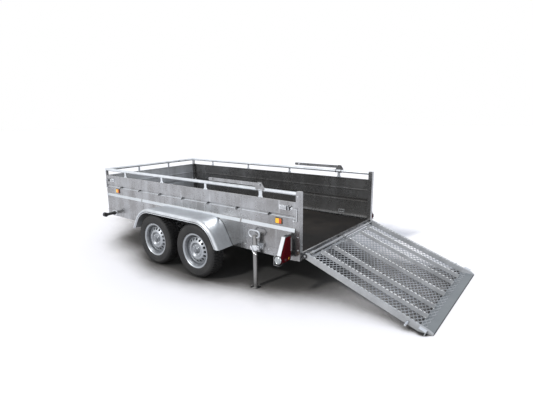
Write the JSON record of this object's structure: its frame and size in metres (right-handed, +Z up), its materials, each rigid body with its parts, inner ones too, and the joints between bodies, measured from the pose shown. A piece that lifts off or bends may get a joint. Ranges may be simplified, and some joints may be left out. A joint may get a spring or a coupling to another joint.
{
  "type": "box trailer",
  "caption": "Twin-axle galvanised box trailer with folded sheet sides, tubular top rail, tandem mudguards, prop stands and a let-down mesh loading ramp.",
  "frame": {"origin": "on the ground, under the middle of the trailer's overall length and width", "axes": "+X forward towards the coupling, +Y to the trailer's left side, +Z up"},
  "size_m": [5.4734, 2.106, 1.015],
  "materials": {
    "galvanised_steel": "hot-dip galvanised, spangled",
    "floor_board": "resin-coated plywood, anti-slip",
    "tyre": "matt rubber",
    "black_rubber": "matt rubber",
    "wheel_silver": "silver paint",
    "bright_zinc": "bright zinc plating",
    "black_plastic": "moulded",
    "lamp_red": "clear red moulding",
    "clear_lens": "clear moulding",
    "amber_lens": "clear amber moulding"
  },
  "bodies": {
    "chassis": {"floor_board": "floor_board", "side_panel_left": "galvanised_steel", "side_panel_right": "galvanised_steel", "front_board": "galvanised_steel", "rear_posts": "galvanised_steel", "front_posts": "galvanised_steel", "side_rails": "galvanised_steel", "cross_members": "galvanised_steel", "rear_sill": "galvanised_steel", "drawbar": "galvanised_steel", "overrun_unit": "galvanised_steel", "shaft_gaiter": "black_rubber", "coupling_head": "galvanised_steel", "jockey_tube": "bright_zinc", "jockey_wheel": "black_rubber", "axle_rear": "galvanised_steel", "axle_front": "galvanised_steel", "mudguard_left": "galvanised_steel", "mudguard_right": "galvanised_steel", "top_rail_left": "galvanised_steel", "top_rail_right": "galvanised_steel", "top_rail_front": "galvanised_steel", "stay_brackets": "galvanised_steel", "lamp_brackets": "galvanised_steel", "lamp_housings": "black_plastic", "lamp_lenses": "lamp_red", "lamp_markers": "clear_lens", "front_marker_plates": "bright_zinc", "front_marker_arms": "black_rubber", "reflector_frames": "black_plastic", "side_reflectors": "amber_lens", "tarp_hooks": "black_plastic", "side_latches": "bright_zinc", "lashing_rings": "bright_zinc", "stand_clamps": "galvanised_steel", "lever_tips": "black_rubber"},
    "ramp": {"ramp_frame": "galvanised_steel", "ramp_tread_bars": "galvanised_steel", "ramp_mesh": "galvanised_steel", "ramp_end_plate": "galvanised_steel", "ramp_bushes": "black_plastic"},
    "wheel_rear_left": {"tyre_rear_left": "tyre", "rim_rear_left": "wheel_silver"},
    "wheel_rear_right": {"tyre_rear_right": "tyre", "rim_rear_right": "wheel_silver"},
    "wheel_front_left": {"tyre_front_left": "tyre", "rim_front_left": "wheel_silver"},
    "wheel_front_right": {"tyre_front_right": "tyre", "rim_front_right": "wheel_silver"},
    "stand_left": {"prop_stand_left": "bright_zinc"},
    "stay_left": {"stay_bar_left": "galvanised_steel"},
    "stand_right": {"prop_stand_right": "bright_zinc"},
    "stay_right": {"stay_bar_right": "galvanised_steel"}
  },
  "joints": [
    {"name": "ramp_hinge", "type": "hinge", "parent": "chassis", "child": "ramp", "pos_m": [-1.61501, 0, 0.382], "axis": [0, 1, 0], "range_deg": [0, 109.39]},
    {"name": "wheel_rear_left_spin", "type": "hinge", "parent": "chassis", "child": "wheel_rear_left", "pos_m": [-0.48131, 0.946, 0.282], "axis": [0, 1, 0], "continuous": true},
    {"name": "wheel_rear_right_spin", "type": "hinge", "parent": "chassis", "child": "wheel_rear_right", "pos_m": [-0.48131, -0.946, 0.282], "axis": [0, 1, 0], "continuous": true},
    {"name": "wheel_front_left_spin", "type": "hinge", "parent": "chassis", "child": "wheel_front_left", "pos_m": [0.17069, 0.946, 0.282], "axis": [0, 1, 0], "continuous": true},
    {"name": "wheel_front_right_spin", "type": "hinge", "parent": "chassis", "child": "wheel_front_right", "pos_m": [0.17069, -0.946, 0.282], "axis": [0, 1, 0], "continuous": true},
    {"name": "prop_stand_left_slide", "type": "slide", "parent": "chassis", "child": "stand_left", "axis": [0, 0, 1], "range_m": [0, 0.28]},
    {"name": "stay_left_hinge", "type": "hinge", "parent": "chassis", "child": "stay_left", "pos_m": [-1.14931, 0.787, 0.993], "axis": [0, -1, 0], "range_deg": [0, 141.01]},
    {"name": "prop_stand_right_slide", "type": "slide", "parent": "chassis", "child": "stand_right", "axis": [0, 0, 1], "range_m": [0, 0.28]},
    {"name": "stay_right_hinge", "type": "hinge", "parent": "chassis", "child": "stay_right", "pos_m": [-1.14931, -0.787, 0.993], "axis": [0, -1, 0], "range_deg": [0, 141.01]}
  ]
}
